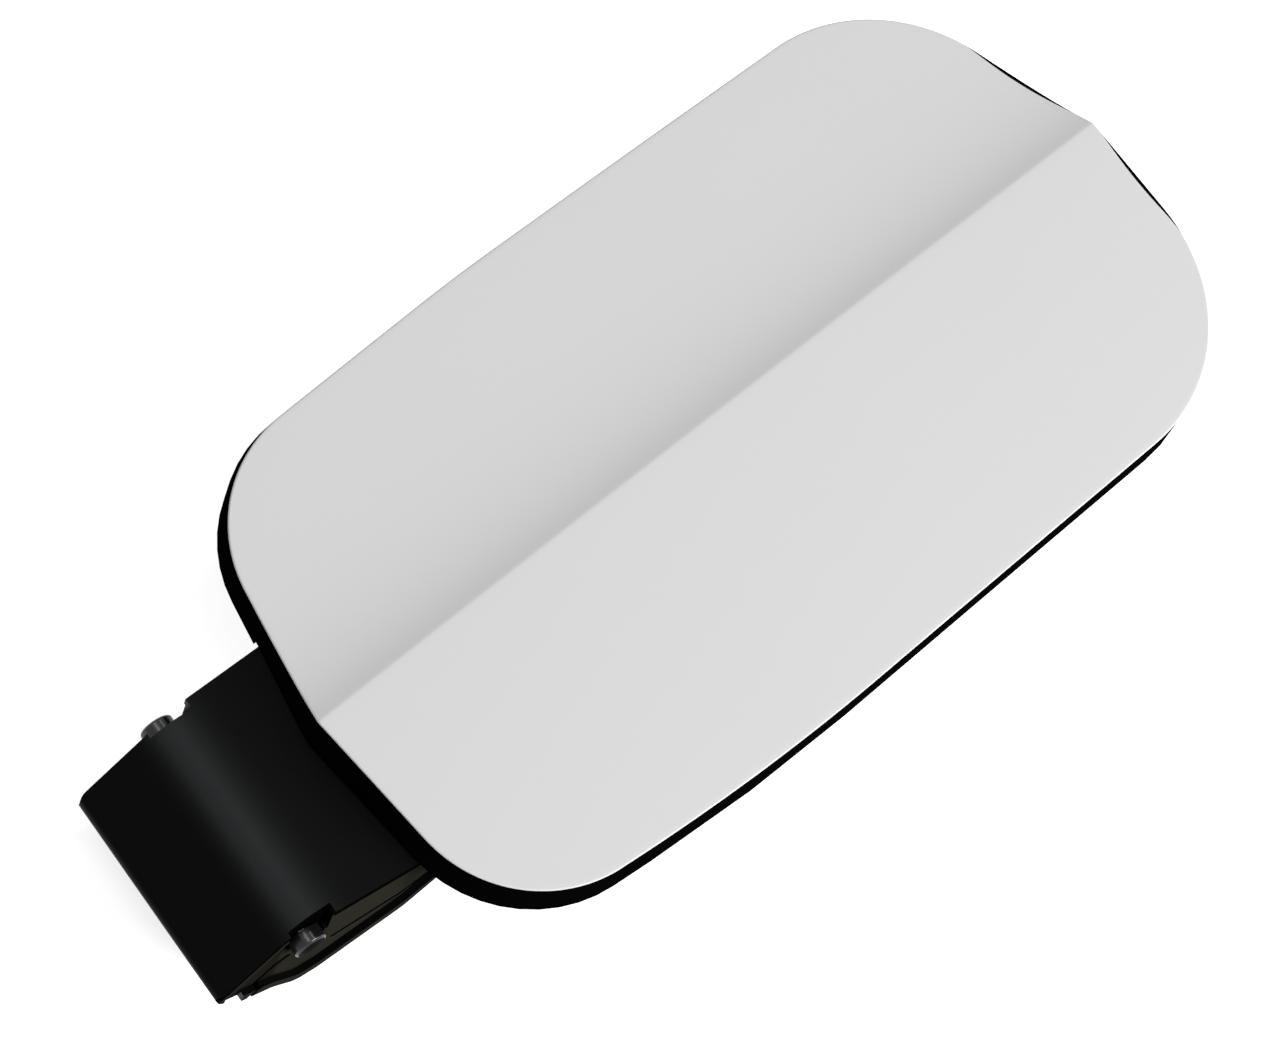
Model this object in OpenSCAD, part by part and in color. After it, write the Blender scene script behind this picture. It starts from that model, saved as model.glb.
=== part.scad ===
// Car fuel door: a pale outer skin on a black moulded carrier, swung by a gooseneck hinge arm.
// Millimetres. The origin is the middle of the hinge axis, +Y runs along that axis,
// +X runs towards the free end and +Z points out of the car.

/* [Outer skin] */
// Length of the skin along its crease, from kink to kink
skin_len = 246.2; // [225:0.1:270]
// Height of the two upper corners over the crease
upper_h = 61; // [54:0.5:66]
// Extra rise of the upper long edge at its middle
upper_bow = 2.3; // [1.5:0.1:3.5]
// Depth of the lower corner at the hinge end, under the crease
lower_h_hinge = 64.4; // [60:0.1:68]
// Depth of the lower corner at the free end, under the crease
lower_h_free = 67.8; // [63:0.1:71]
// Extra depth of the lower long edge at its middle
lower_bow = 5; // [3.5:0.1:6.5]
// How far the two upper corners stand back from the ends of the crease
upper_setback = 16.5; // [10:0.5:22]
// How far the lower corner at the free end stands back
lower_setback = 4.9; // [2:0.1:10]
// Radius of the corners at the hinge end
hinge_corner_r = 34; // [24:0.5:40]
// Radius of the upper corner at the free end
upper_corner_r = 38.8; // [28:0.2:44]
// Radius of the lower corner at the free end
lower_corner_r = 44.4; // [34:0.2:50]
// Thickness of the skin
skin_t = 2.2; // [1.6:0.1:3]
// Radius of the skin's crown along the crease
crown_r = 4000; // [3500:100:6000]
// Radius of the skin's crown across the crease
cross_r = 1500; // [1000:50:3000]
// Drop of the scoop on the upper side of the crease
scoop_drop = 3; // [1.5:0.1:4]
// Width over which the scoop fades out
scoop_w = 25; // [15:1:35]
// Softness of the crease's edge
crease_soft = 1.2; // [0.6:0.1:2]

/* [Carrier] */
// Depth of the door's edge, skin and carrier together
rim_depth = 12.2; // [10:0.1:13]
// Wall of the carrier's rim
rim_t = 2.4; // [1.8:0.1:3.2]
// Wall of the carrier's web under the skin
web_t = 2; // [1.6:0.1:2.8]
// Depth of the ribs, from the skin's outer face
rib_depth = 9; // [7:0.1:9.6]
// Thickness of a rib
rib_t = 1.6; // [1.2:0.1:2.2]
// Distance between ribs
rib_pitch = 27; // [22:1:36]
// Width of the bond bead
bead_w = 5; // [3:0.5:7]
// Thickness of the bond bead
bead_t = 0.8; // [0.5:0.1:1.2]
// Distance of the bond bead from the outline
bead_inset = 6; // [4:0.5:9]

/* [Hinge] */
// Angle between the crease and a line square to the hinge axis
skew = 6.5; // [3:0.5:9]
// Distance from the hinge axis to the near end of the crease
hinge_gap = 22.1; // [20:0.1:26]
// Distance from the hinge's middle to the crease, along the hinge axis
hinge_offset = 2.95; // [0:0.05:6]
// Depth of the hinge axis under the crest of the crease
hinge_drop = 29; // [28.5:0.1:31]
// Radius of the pivot bushes that the car's ears hold
pivot_r = 4.1; // [3.5:0.1:4.4]
// How far a pivot bush stands out past the tail's side
pivot_out = 2.9; // [2:0.1:4]
// Radius of the steel hinge rod
rod_r = 2.5; // [2:0.1:2.8]
// Running clearance of the rod in its bores, on the radius
run_gap = 0.06; // [0.03:0.01:0.1]
// Gap between faces that turn past each other
turn_gap = 0.3; // [0.2:0.05:0.5]

/* [Arm] */
// Half width of the arm's tail
arm_half = 28; // [26:0.1:30]
// How much wider each side is just past the pivots
step_out = 1.4; // [0.5:0.1:2]
// Half width of the arm where it goes under the door
arm_root_half = 30.5; // [29:0.1:33]
// Wall of the arm's top sheet
sheet_t = 2.6; // [2:0.1:3.2]
// Wall of the arm's sides
side_t = 2.4; // [2:0.1:3]
// Depth of the arm's sides under the hinge axis
side_drop = 25; // [20:0.5:27]
// Length of the tail behind the hinge axis
tail_len = 21.7; // [17:0.1:24]
// Depth of the tail's tip under the hinge axis
tail_drop = 11.5; // [8:0.1:13]
// Radius of the rolled edge at the tail's tip
tail_roll_r = 3; // [1:0.1:3.4]
// Radius of the tail's corners, seen from above
tail_corner_r = 2.5; // [1:0.1:5]
// Height of the elbow's corner over the hinge axis
elbow_h = 10.1; // [9.8:0.1:11.5]
// Radius of the elbow
elbow_r = 12; // [8:0.5:16]
// Length of the arm's plate under the door, from the hinge axis
plate_len = 97; // [90:0.5:104]
// Proud width of the lip along the lower edge of the sides
lip_out = 1.2; // [0.8:0.1:2.4]
// Height of that lip
lip_h = 3.6; // [2.5:0.1:5]
// Depth of the notches at the pivots, from the tail's side
notch_depth = 1.2; // [0.8:0.1:3]
// Gap between a pivot bush and its notch
notch_gap = 0.8; // [0.6:0.1:2]
// Length of the notches towards the door, from the hinge axis
notch_len = 5.6; // [5:0.1:8]
// Depth of the stiffening ribs under the arm's sheet
arm_rib_h = 3.4; // [2:0.1:3.6]

/* [Fastened pieces] */
// Shank radius of the screws that hold the arm
arm_screw_r = 2.4; // [2:0.1:2.8]
// Shank radius of the small screws
small_screw_r = 1.6; // [1.3:0.1:2]
// Length of the striker's tongue
tongue_len = 24; // [18:0.5:30]
// Width of the striker's tongue
tongue_w = 18; // [15:0.5:22]
// Thickness of the striker's tongue
tongue_t = 4; // [3:0.1:5]
// Radius of the lock pin's hole in the tongue
lock_r = 3.6; // [3:0.1:4.5]
// Width of the slot that takes the grip of the fuel cap
cap_slot_w = 13; // [11:0.5:16]
// Height of that slot
cap_slot_h = 7; // [5:0.5:9]
// Length of the cap holder
cap_len = 34; // [28:1:40]
// Radius of a bump stop's head
bump_r = 6; // [5:0.1:7.5]
// Height of a bump stop's head
bump_h = 4.2; // [3:0.1:6]
// Wire radius of the torsion spring
wire_r = 0.8; // [0.6:0.05:0.9]
// Turns of the torsion spring
spring_turns = 7; // [5:1:9]

/* [Hidden] */

paint = [0.84, 0.84, 0.84];
black = [0.06, 0.06, 0.065];
soft_black = [0.1, 0.1, 0.1];
steel = [0.55, 0.56, 0.58];
glue = [0.35, 0.33, 0.3];

half_len = skin_len / 2;
far = 400;
tall = 80;
eps = 0.05;

// Outline of the door, seen square to its outer face.
// Each corner is [x, y, radius]: the kinks at the ends of the crease, four corners,
// and one soft corner in the middle of each long edge that gives the edge its bow.
// The soft corners lie at a share of their edge's length, and their arcs reach along
// a share of the shorter side beside them.
upper_mid_at = 0.38;
lower_mid_at = 0.29;
upper_reach = 0.15;
lower_reach = 0.42;
kink_r = 4;
hinge_setback = 1.1;
upper_low = [upper_setback - half_len, upper_h];
upper_high = [half_len - upper_setback, upper_h];
lower_low = [hinge_setback - half_len, -lower_h_hinge];
lower_high = [half_len - lower_setback, -lower_h_free];
upper_mid = [upper_low[0] + upper_mid_at * (upper_high[0] - upper_low[0]), upper_h + upper_bow];
lower_mid = [lower_low[0] + lower_mid_at * (lower_high[0] - lower_low[0]),
    -(lower_h_hinge + lower_h_free) / 2 - lower_bow];
// Radius of an arc in a corner m between a and b that reaches along a share of the shorter side
function reach_radius(a, m, b, share) = share * min(norm(a - m), norm(b - m))
    * tan(acos(unit(a - m) * unit(b - m)) / 2);
function corner(p, r) = [p[0], p[1], r];
door_corners = [
    [-half_len, 0, kink_r],
    corner(lower_low, hinge_corner_r),
    corner(lower_mid, reach_radius(lower_low, lower_mid, lower_high, lower_reach)),
    corner(lower_high, lower_corner_r),
    [half_len, 0, kink_r],
    corner(upper_high, upper_corner_r),
    corner(upper_mid, reach_radius(upper_low, upper_mid, upper_high, upper_reach)),
    corner(upper_low, hinge_corner_r)
];

function xy(p) = [p[0], p[1]];
function unit(v) = v / norm(v);
// Unit vectors from corner i to its two neighbours, and the angle between them
function back_dir(c, i) = unit(xy(c[(i + len(c) - 1) % len(c)]) - xy(c[i]));
function next_dir(c, i) = unit(xy(c[(i + 1) % len(c)]) - xy(c[i]));
function corner_angle(c, i) = acos(back_dir(c, i) * next_dir(c, i));
// Centre of the arc that rounds corner i
function arc_centre(c, i) = xy(c[i])
    + unit(back_dir(c, i) + next_dir(c, i)) * c[i][2] / sin(corner_angle(c, i) / 2);
function heading(v) = atan2(v[1], v[0]);
function near_turn(a) = a > 180 ? a - 360 : (a < -180 ? a + 360 : a);
// Points of one rounded corner, with a step for each few degrees of turn
function arc_points(c, i, step) = let (
        reach = c[i][2] / tan(corner_angle(c, i) / 2),
        mid = arc_centre(c, i),
        first = xy(c[i]) + back_dir(c, i) * reach - mid,
        last = xy(c[i]) + next_dir(c, i) * reach - mid,
        turn = near_turn(heading(last) - heading(first)),
        count = max(2, ceil(abs(turn) / step))
    ) [for (k = [0:count])
        mid + c[i][2] * [cos(heading(first) + turn * k / count), sin(heading(first) + turn * k / count)]];
function rounded(c, step = 8) = [for (i = [0:len(c) - 1]) each arc_points(c, i, step)];
// The same corners moved inwards by d, for a path that runs anticlockwise
function inward(c, i) = let (m = unit(back_dir(c, i) + next_dir(c, i)),
        side = cross(next_dir(c, i), back_dir(c, i)) > 0 ? 1 : -1) m * side;
function inset_corners(c, d) = [for (i = [0:len(c) - 1])
    let (p = xy(c[i]) + inward(c, i) * d / sin(corner_angle(c, i) / 2)) [p[0], p[1], max(c[i][2] - d, 0.4)]];

// Height of the skin's outer face at distance t from the crease: a shallow crown,
// and on the upper side a scoop that falls from the crease and fades out.
function past_crease(t) = (t + sqrt(t * t + crease_soft * crease_soft)) / 2;
function scoop(t) = scoop_drop * (1 - pow(1 - min(past_crease(t) / scoop_w, 1), 2));
function face_z(t) = -t * t / (2 * cross_r) - scoop(t);
// Stations across the door: wide apart on the flats, close together at the crease and scoop
below = lower_h_free + lower_bow + 7;
above = upper_h + upper_bow + 17;
function spread(from, to, count) = [for (k = [0:count]) from + (to - from) * k / count];
stations = concat([-below, -0.75 * below, -0.45 * below, -15], spread(-6, 6, 8),
    spread(9, scoop_w - 3, 4), [scoop_w + 3, 0.62 * above, above]);

// Solid between two faces that lie top and bottom under the skin's outer face,
// crowned along the crease by turning the section about a far axis
module crowned(top, bottom) {
    sweep = 2 * asin(0.56 * skin_len / crown_r);
    last = len(stations) - 1;
    translate([0, 0, -crown_r])
        rotate([90, 0, 0])
            rotate([0, 0, 90 - sweep / 2])
                rotate_extrude(angle = sweep, $fn = 1440)
                    polygon(concat([for (t = stations) [crown_r + face_z(t) - top, -t]],
                        [for (k = [0:last]) [crown_r + face_z(stations[last - k]) - bottom, -stations[last - k]]]));
}

module door_prism(inset) {
    translate([0, 0, -tall])
        linear_extrude(2 * tall)
            polygon(rounded(inset_corners(door_corners, inset)));
}

// Puts a piece drawn in the door's frame into the hinge's frame
hinge_reach = hinge_gap + half_len;
module on_door() {
    rotate([0, 0, skew])
        translate([hinge_reach, hinge_offset, hinge_drop])
            children();
}

// Outer skin
module outer_skin() {
    color(paint)
        on_door()
            intersection() {
                crowned(0, skin_t);
                door_prism(0);
            }
}

// Four runs of bonding paste that hold the skin on the carrier, sunk in grooves of the
// web, as [x, y, length along x, length along y] of each
bead_runs = [
    [hinge_corner_r - half_len, upper_h - bead_inset - bead_w,
        skin_len - hinge_corner_r - upper_corner_r - upper_setback / 2, bead_w],
    [hinge_corner_r - half_len, bead_inset - lower_h_hinge,
        skin_len - hinge_corner_r - lower_corner_r, bead_w],
    [bead_inset + rim_t - half_len, hinge_corner_r - lower_h_hinge,
        bead_w, upper_h + lower_h_hinge - 2 * hinge_corner_r - upper_setback / 2],
    [half_len - bead_inset - bead_w - lower_setback, lower_corner_r - lower_h_free,
        bead_w, upper_h + lower_h_free - upper_corner_r - lower_corner_r]
];
module bead_lines() {
    for (b = bead_runs)
        translate([b[0], b[1], -tall])
            cube([b[2], b[3], 2 * tall]);
}
module bond_bead() {
    color(glue)
        on_door()
            intersection() {
                crowned(skin_t, skin_t + bead_t);
                bead_lines();
            }
}

// Height of the outer face at a place on the door
function face_at(p) = face_z(p[1]) - p[0] * p[0] / (2 * crown_r);

// Fastening pads, in the door's frame
pad_z = -15;
pad_boss_r = 4.2;
striker_at = [half_len - 26, -4];
striker_holes = [[0, 15], [0, -15]];
holder_at = [half_len - 95, -6];
holder_holes = [[17, 0], [-17, 0]];
bumps = [[half_len - 35, upper_h - 25], [half_len - 29, 22 - lower_h_free],
    [35 - half_len, 13.5 - lower_h_hinge], [34 - half_len, upper_h - 23]];
bump_stem_r = 3;
bump_stem_l = 5.5;
bump_sink = 1;
seat_gap = 0.03;
function bump_z(p) = face_at(p) - rim_depth + bump_sink;

// Fastening places of the arm, in the hinge's frame
plate_z = 14.6;
arm_holes = [[hinge_gap + 22, 19], [hinge_gap + 22, -19], [plate_len - 11, 0]];
arm_boss_r = 5.5;
arm_screw_grip = 6.5;
arm_head_r = 4.6;
arm_head_h = 2.8;
small_head_r = 3;
small_head_h = 2;
small_grip = 5.5;

// Carrier: one moulding with a web under the skin, a rim flush with it, ribs and bosses
module rib_grid() {
    reach = ceil(half_len / rib_pitch);
    side = ceil(lower_h_free / rib_pitch);
    for (k = [-reach:reach])
        translate([k * rib_pitch - rib_t / 2, -far / 2, -tall])
            cube([rib_t, far, 2 * tall]);
    for (k = [-side:side])
        translate([-far / 2, k * rib_pitch - rib_t / 2, -tall])
            cube([far, rib_t, 2 * tall]);
}
module door_boss(p, z, r) {
    translate([p[0], p[1], z])
        cylinder(h = -z, r = r, $fn = 64);
}
// Keeps what lies under the middle of the web
module under_web() {
    intersection() {
        crowned(skin_t + web_t / 2, tall / 2);
        children();
    }
}
module carrier_shell() {
    difference() {
        intersection() {
            crowned(skin_t, rim_depth);
            door_prism(0);
        }
        difference() {
            intersection() {
                crowned(skin_t + web_t, tall / 2);
                door_prism(rim_t);
            }
            intersection() {
                crowned(skin_t, rib_depth);
                rib_grid();
            }
        }
        intersection() {
            crowned(skin_t - 1, skin_t + bead_t);
            bead_lines();
        }
    }
}
module inner_carrier() {
    color(black)
        difference() {
            union() {
                difference() {
                    on_door()
                        carrier_shell();
                    arm_room();
                }
                on_door() {
                    for (h = striker_holes)
                        under_web()
                            door_boss(striker_at + h, pad_z, pad_boss_r);
                    for (h = holder_holes)
                        under_web()
                            door_boss(holder_at + h, pad_z, pad_boss_r);
                    for (p = bumps)
                        under_web()
                            door_boss(p, bump_z(p), bump_r);
                }
                for (h = arm_holes)
                    intersection() {
                        on_door()
                            crowned(skin_t + web_t / 2, tall / 2);
                        translate([h[0], h[1], plate_z])
                            cylinder(h = hinge_drop, r = arm_boss_r, $fn = 64);
                    }
            }
            on_door() {
                for (h = striker_holes)
                    translate([striker_at[0] + h[0], striker_at[1] + h[1], pad_z - eps])
                        cylinder(h = small_grip + 0.5, r = small_screw_r + seat_gap, $fn = 32);
                for (h = holder_holes)
                    translate([holder_at[0] + h[0], holder_at[1] + h[1], pad_z - eps])
                        cylinder(h = small_grip + 0.5, r = small_screw_r + seat_gap, $fn = 32);
                for (p = bumps)
                    translate([p[0], p[1], bump_z(p) - eps])
                        cylinder(h = bump_stem_l + 0.5, r = bump_stem_r + seat_gap, $fn = 48);
            }
            for (h = arm_holes)
                translate([h[0], h[1], plate_z - eps])
                    cylinder(h = arm_screw_grip + 0.5, r = arm_screw_r + seat_gap, $fn = 32);
        }
}

// Side profile of the arm in the plane square to the hinge axis, as [x, z, radius]
elbow_x = -2.3;
bend_x = hinge_gap + 8;
arm_profile = [
    [-tail_len, -tail_drop, tail_roll_r],
    [-tail_len + 1.2, -tail_drop - 2.8, 0.6],
    [0.5, -side_drop, 3],
    [hinge_gap + 14, -3.5, 14],
    [plate_len - 27, 8, 14],
    [plate_len, plate_z - sheet_t, 0.6],
    [plate_len, plate_z, 0.8],
    [bend_x, plate_z, 25],
    [elbow_x, elbow_h, elbow_r]
];
// The space under the top sheet, open downwards
under_sheet = inset_corners([
    [-tail_len, -tail_drop, tail_roll_r + sheet_t],
    [-tail_len, -far, 1],
    [plate_len + 20, -far, 1],
    [plate_len + 20, plate_z, 1],
    [bend_x, plate_z, 25],
    [elbow_x, elbow_h, elbow_r]
], sheet_t);
// Plan of the arm: it steps out past the pivots and is widest where it goes under the door
arm_plan = [
    [-tail_len, -arm_half, tail_corner_r],
    [-notch_len, -arm_half, 12],
    [notch_len, -arm_half - step_out, 12],
    [bend_x - 4, -arm_root_half, 20],
    [plate_len, 3 - arm_root_half, 10],
    [plate_len, arm_root_half - 3, 10],
    [bend_x - 4, arm_root_half, 20],
    [notch_len, arm_half + step_out, 12],
    [-notch_len, arm_half, 12],
    [-tail_len, arm_half, tail_corner_r]
];
// The sides stand back a little under the sheet's edge
sheet_over = 0.5;
half_span = 60;

// A flat figure of the side profile, drawn across the arm
module across(half) {
    rotate([90, 0, 0])
        linear_extrude(2 * half, center = true)
            children();
}
module plan_prism(inset) {
    translate([0, 0, -tall])
        linear_extrude(2 * tall)
            polygon(rounded(inset_corners(arm_plan, inset)));
}
module plan_ring(outer_inset, inner_inset) {
    translate([0, 0, -tall])
        linear_extrude(2 * tall)
            difference() {
                polygon(rounded(inset_corners(arm_plan, outer_inset)));
                polygon(rounded(inset_corners(arm_plan, inner_inset)));
            }
}
module arm_room() {
    intersection() {
        across(half_span)
            polygon(rounded(inset_corners(arm_profile, -0.2)));
        plan_prism(-lip_out - 0.4);
    }
}

// Hinge arm: a gooseneck moulding, a channel open downwards
bear_out = arm_half - notch_depth;
bear_t = 3;
bear_in = bear_out - bear_t;
bear_r = 10;
arm_bush_r = 3.6;
flange_t = 1;
flange_r = 5.5;
groove_d = 0.9;
groove_w = 1.6;
lip_from = 6.7 - tail_len;
lip_to = plate_len - 31;
arm_rib_t = 1.6;
arm_rib_y = 11;
notch_r = pivot_r + notch_gap;
module notch_cut(side) {
    translate([-notch_r, side > 0 ? bear_out : -far - bear_out, 0])
        cube([notch_r + notch_len, far, far]);
    translate([0, side > 0 ? bear_out : -bear_out, 0])
        rotate([side > 0 ? -90 : 90, 0, 0])
            cylinder(h = far, r = notch_r, $fn = 64);
}
// Two ribs that hang under the sheet, along the arm
module arm_ribs() {
    intersection() {
        difference() {
            across(half_span)
                polygon(rounded(inset_corners(arm_profile, 0.3)));
            translate([0, 0, -arm_rib_h])
                across(half_span)
                    polygon(rounded(under_sheet));
        }
        for (side = [-1, 1])
            translate([bend_x - 6, side * arm_rib_y - arm_rib_t / 2, 0])
                cube([plate_len - bend_x + 6, arm_rib_t, tall]);
    }
}
// Long shallow groove along the side, from one place to another of the side profile
module side_groove(from, to) {
    run = to - from;
    translate([from[0], 0, from[1]])
        rotate([0, -heading(run), 0])
            translate([0, -half_span, -groove_w / 2])
                cube([norm(run), 2 * half_span, groove_w]);
}
module hinge_arm() {
    color(black)
        difference() {
            union() {
                difference() {
                    intersection() {
                        across(half_span)
                            polygon(rounded(arm_profile));
                        plan_prism(0);
                    }
                    intersection() {
                        across(half_span)
                            polygon(rounded(under_sheet));
                        plan_prism(sheet_over + side_t);
                    }
                    intersection() {
                        across(half_span)
                            polygon(rounded(under_sheet));
                        plan_ring(-5, sheet_over);
                    }
                }
                intersection() {
                    across(half_span)
                        difference() {
                            polygon(rounded(arm_profile));
                            translate([0, lip_h])
                                polygon(rounded(arm_profile));
                        }
                    plan_ring(-lip_out, sheet_over + side_t - 0.5);
                    translate([lip_from, -half_span, -far])
                        cube([lip_to - lip_from, 2 * half_span, far + plate_z - sheet_t - 3]);
                }
                for (side = [-1, 1])
                    intersection() {
                        across(half_span)
                            polygon(rounded(inset_corners(arm_profile, 0.3)));
                        union() {
                            translate([0, side * (bear_in + bear_t), 0])
                                rotate([90, 0, 0])
                                    cylinder(h = 2 * bear_t, r = bear_r, center = true, $fn = 72);
                            translate([-bear_r, side * (bear_in + bear_t) - bear_t, 0])
                                cube([2 * bear_r, 2 * bear_t, far]);
                        }
                        plan_prism(sheet_over + side_t / 2);
                    }
                arm_ribs();
            }
            for (side = [-1, 1])
                notch_cut(side);
            rotate([90, 0, 0])
                cylinder(h = 2 * half_span, r = arm_bush_r + seat_gap, center = true, $fn = 64);
            intersection() {
                union() {
                    side_groove([8, -9.3], [hinge_gap + 12, -1.6]);
                    side_groove([-13.5, -19], [-2.6, -7.6]);
                }
                plan_ring(-5, sheet_over + groove_d);
            }
            for (h = arm_holes)
                translate([h[0], h[1], plate_z - 10])
                    cylinder(h = 20, r = arm_screw_r + 0.4, $fn = 32);
        }
}

// Screws, each with a round head under the piece that it holds
module screw(shank_r, length, head_r, head_h) {
    cylinder(h = length, r = shank_r, $fn = 32);
    rotate_extrude($fn = 48)
        polygon([[0, 0], [head_r, 0], [head_r, -head_h * 0.55], [head_r * 0.75, -head_h], [0, -head_h]]);
}
module arm_screws() {
    color(steel)
        for (h = arm_holes)
            translate([h[0], h[1], plate_z - sheet_t])
                screw(arm_screw_r, sheet_t + arm_screw_grip, arm_head_r, arm_head_h);
}
base_t = 2.6;
module striker_screws() {
    color(steel)
        on_door()
            for (h = striker_holes)
                translate([striker_at[0] + h[0], striker_at[1] + h[1], pad_z - base_t])
                    screw(small_screw_r, base_t + small_grip, small_head_r, small_head_h);
}
module cap_holder_screws() {
    color(steel)
        on_door()
            for (h = holder_holes)
                translate([holder_at[0] + h[0], holder_at[1] + h[1], pad_z - base_t])
                    screw(small_screw_r, base_t + small_grip, small_head_r, small_head_h);
}

// Hinge rod, its bushes and the spring
end_wall = 1.4;
rod_half = arm_half + pivot_out - end_wall;
module turned(side) {
    rotate([-90 * side, 0, 0])
        rotate_extrude($fn = 64)
            children();
}
module hinge_rod() {
    color(steel)
        turned(1)
            polygon([[0, -rod_half], [rod_r - 0.4, -rod_half], [rod_r, -rod_half + 0.4],
                [rod_r, rod_half - 0.4], [rod_r - 0.4, rod_half], [0, rod_half]]);
}
module pivot_bush(side) {
    inner = bear_out + turn_gap;
    outer = arm_half + pivot_out;
    bore = rod_r + seat_gap;
    color(soft_black)
        turned(side)
            polygon([[bore, inner], [pivot_r, inner], [pivot_r, outer - 0.5], [pivot_r - 0.5, outer],
                [0, outer], [0, rod_half + seat_gap], [bore, rod_half + seat_gap]]);
}
module pivot_bush_left() {
    pivot_bush(1);
}
module pivot_bush_right() {
    pivot_bush(-1);
}
module arm_bush(side) {
    bore = rod_r + run_gap;
    color(soft_black)
        turned(side)
            polygon([[bore, bear_in - flange_t], [flange_r, bear_in - flange_t], [flange_r, bear_in],
                [arm_bush_r, bear_in], [arm_bush_r, bear_out], [bore, bear_out]]);
}
module arm_bush_left() {
    arm_bush(1);
}
module arm_bush_right() {
    arm_bush(-1);
}
sleeve_r = rod_r + 0.8;
sleeve_half = bear_in - flange_t - turn_gap;
module spring_sleeve() {
    color(soft_black)
        turned(1)
            polygon([[rod_r + seat_gap, -sleeve_half], [sleeve_r, -sleeve_half],
                [sleeve_r, sleeve_half], [rod_r + seat_gap, sleeve_half]]);
}

// Torsion spring: a leg under the arm's sheet, the coil round the sleeve, and a leg
// that bears on the car, all one wire swept along its path
coil_r = sleeve_r + wire_r + 0.2;
coil_pitch = 2 * wire_r + 0.3;
sheet_rise = (plate_z - elbow_h) / (bend_x - elbow_x);
leg_reach = 18;
leg_end = [leg_reach, elbow_h + (leg_reach - elbow_x) * sheet_rise
    - sheet_t * sqrt(1 + sheet_rise * sheet_rise) - wire_r - turn_gap];
leg_up = heading(leg_end) - asin(coil_r / norm(leg_end));
leg_up_l = sqrt(leg_end * leg_end - coil_r * coil_r);
leg_down = -34;
leg_down_l = 17;
coil_steps = 16;
start_a = 90 + leg_up;
end_a = 270 + leg_down;
sweep_a = 360 * spring_turns + end_a - start_a;
coil_half = coil_pitch * sweep_a / 720;
wire_sides = 8;
function coil_point(a) =
    [coil_r * cos(start_a + a), coil_half - 2 * coil_half * a / sweep_a, coil_r * sin(start_a + a)];
function coil_heading(a) = [-sin(start_a + a), 0, cos(start_a + a)];
module torsion_spring() {
    count = round(coil_steps * sweep_a / 360);
    turns = [for (k = [0:count]) k * sweep_a / count];
    path = concat([coil_point(0) - leg_up_l * coil_heading(0)], [for (a = turns) coil_point(a)],
        [coil_point(sweep_a) + leg_down_l * coil_heading(sweep_a)]);
    dirs = concat([coil_heading(0)], [for (a = turns) coil_heading(a)], [coil_heading(sweep_a)]);
    rings = len(path);
    points = [for (i = [0:rings - 1]) for (k = [0:wire_sides - 1])
        let (out = cross(dirs[i], [0, 1, 0]), a = 360 * k / wire_sides)
            path[i] + wire_r * (cos(a) * out + sin(a) * [0, 1, 0])];
    walls = [for (i = [0:rings - 2]) for (k = [0:wire_sides - 1]) let (n = (k + 1) % wire_sides)
        [i * wire_sides + k, i * wire_sides + n, (i + 1) * wire_sides + n, (i + 1) * wire_sides + k]];
    color(steel)
        polyhedron(points, concat([[for (k = [wire_sides - 1:-1:0]) k]], walls,
            [[for (k = [0:wire_sides - 1]) (rings - 1) * wire_sides + k]]));
}

// Latch striker: a foot on two bosses and a tongue with a hole for the lock's pin
foot_x = 20;
foot_y = 40;
tongue_tip_r = 5;
module latch_striker() {
    foot = [[-foot_x / 2, -foot_y / 2, 4], [foot_x / 2, -foot_y / 2, 4],
        [foot_x / 2, foot_y / 2, 4], [-foot_x / 2, foot_y / 2, 4]];
    low = -base_t - tongue_len;
    top_w = tongue_w / 2 + 1.5;
    tongue = [[-top_w, -base_t / 2, 0.5], [-tongue_w / 2 + 1, low, tongue_tip_r],
        [tongue_w / 2 - 1, low, tongue_tip_r], [top_w, -base_t / 2, 0.5]];
    gusset_l = foot_x / 2 - 1;
    color(soft_black)
        on_door()
            translate([striker_at[0], striker_at[1], pad_z])
                difference() {
                    union() {
                        translate([0, 0, -base_t])
                            linear_extrude(base_t)
                                polygon(rounded(foot));
                        rotate([90, 0, 90])
                            linear_extrude(tongue_t, center = true)
                                polygon(rounded(tongue));
                        for (side = [-1, 1])
                            translate([0, side * (tongue_w / 2 - 2), 0])
                                rotate([90, 0, 0])
                                    linear_extrude(rib_t, center = true)
                                        polygon([[0, -base_t / 2], [gusset_l, -base_t / 2],
                                            [gusset_l, -base_t - 1], [tongue_t / 2 - 0.5, low / 2 - 2]]);
                    }
                    translate([0, 0, low + 2 * lock_r + 1])
                        rotate([0, 90, 0])
                            cylinder(h = far, r = lock_r, center = true, $fn = 64);
                    for (h = striker_holes)
                        translate([h[0], h[1], -10])
                            cylinder(h = 20, r = small_screw_r + 0.3, $fn = 32);
                }
}

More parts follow.
